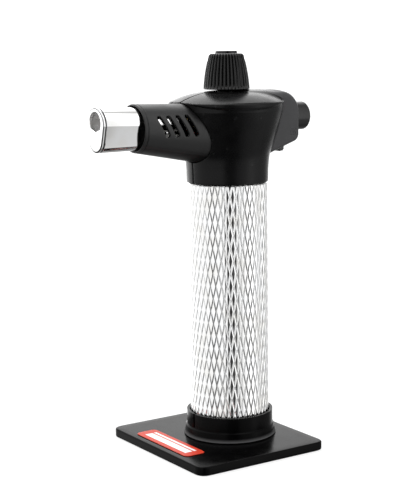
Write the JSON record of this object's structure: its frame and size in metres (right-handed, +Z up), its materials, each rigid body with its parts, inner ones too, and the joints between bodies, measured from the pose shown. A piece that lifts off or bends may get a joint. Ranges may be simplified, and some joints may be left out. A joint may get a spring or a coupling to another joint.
{
  "type": "butane torch",
  "caption": "Table-top butane torch with a knurled tank handle, gas knob, side-slotted barrel, piezo button, flame lever and a plate stand with a collar.",
  "frame": {"origin": "tank axis at the underside of the stand plate", "axes": "+Z up along the tank axis, -X the way the barrel and flame point, -Y the user's left when the barrel points away from them"},
  "size_m": [0.1113, 0.076, 0.1792],
  "materials": {
    "stand_plastic": "satin black",
    "head_plastic": "satin black",
    "barrel_plastic": "fine matt texture, black",
    "knob_plastic": "matt black",
    "tank_nylon": "natural white nylon",
    "piezo_plastic": "matt dark grey",
    "aluminium": "polished and diamond knurled",
    "chrome": "polished",
    "steel": "plated",
    "brass": "turned",
    "rubber": "matt",
    "felt": "felt",
    "ceramic": "glazed",
    "cable": "red insulation",
    "label_red": "printed film"
  },
  "bodies": {
    "stand": {"stand_plate": "stand_plastic", "stand_collar": "stand_plastic", "collar_screw_1": "steel", "collar_screw_2": "steel", "collar_screw_3": "steel", "stand_label": "label_red"},
    "torch": {"grip_sleeve": "aluminium", "base_plug": "tank_nylon", "fuel_tank": "tank_nylon", "tank_top": "tank_nylon", "fill_valve_body": "brass", "fill_valve_seal": "rubber", "fill_valve_spring": "steel", "wick_tube": "tank_nylon", "fuel_wick": "felt", "gas_valve_body": "brass", "spindle_seal": "rubber", "gland_nut": "brass", "head_shell_left": "head_plastic", "head_shell_right": "head_plastic", "shell_screw_1": "steel", "shell_screw_2": "steel", "shell_screw_3": "steel", "barrel": "barrel_plastic", "flame_tube": "chrome", "burner_tube": "steel", "flame_holder": "steel", "mixing_tube": "chrome", "gas_jet": "brass", "jet_holder": "brass", "gas_tube": "brass", "electrode_insulator": "ceramic", "ignition_electrode": "steel", "ignition_wire": "cable", "piezo_housing": "piezo_plastic", "piezo_spring": "steel"},
    "knob": {"valve_spindle": "brass", "flow_knob": "knob_plastic", "knob_screw": "steel", "knob_cap": "knob_plastic"},
    "needle": {"metering_needle": "steel"},
    "lever": {"flame_lever": "knob_plastic"},
    "button": {"ignition_button": "knob_plastic", "piezo_plunger": "piezo_plastic"},
    "fill_stem": {"fill_valve_stem": "brass"}
  },
  "joints": [
    {"name": "torch_lift", "type": "slide", "parent": "stand", "child": "torch", "axis": [0, 0, 1], "range_m": [0, 0.03]},
    {"name": "knob_turn", "type": "hinge", "parent": "torch", "child": "knob", "pos_m": [0, 0, 0.1622], "axis": [0, 0, 1], "range_deg": [0, 270]},
    {"name": "needle_rise", "type": "slide", "parent": "knob", "child": "needle", "axis": [0, 0, 1], "range_m": [0, 0.000376]},
    {"name": "flame_lever_turn", "type": "hinge", "parent": "torch", "child": "lever", "pos_m": [0, 0, 0.1403], "axis": [0, 0, 1], "range_deg": [-10, 10]},
    {"name": "button_press", "type": "slide", "parent": "torch", "child": "button", "axis": [-1, 0, 0], "range_m": [0, 0.0055], "stiffness_N_per_m": 1500, "springref_m": -0.001, "deforming": ["piezo_spring"]},
    {"name": "fill_press", "type": "slide", "parent": "torch", "child": "fill_stem", "axis": [0, 0, 1], "range_m": [0, 0.0015], "stiffness_N_per_m": 800, "springref_m": -0.0005, "deforming": ["fill_valve_spring"]}
  ],
  "couplings": [
    {"joint": "needle_rise", "follows": "knob_turn", "m_per_rad": 0.000079577}
  ]
}
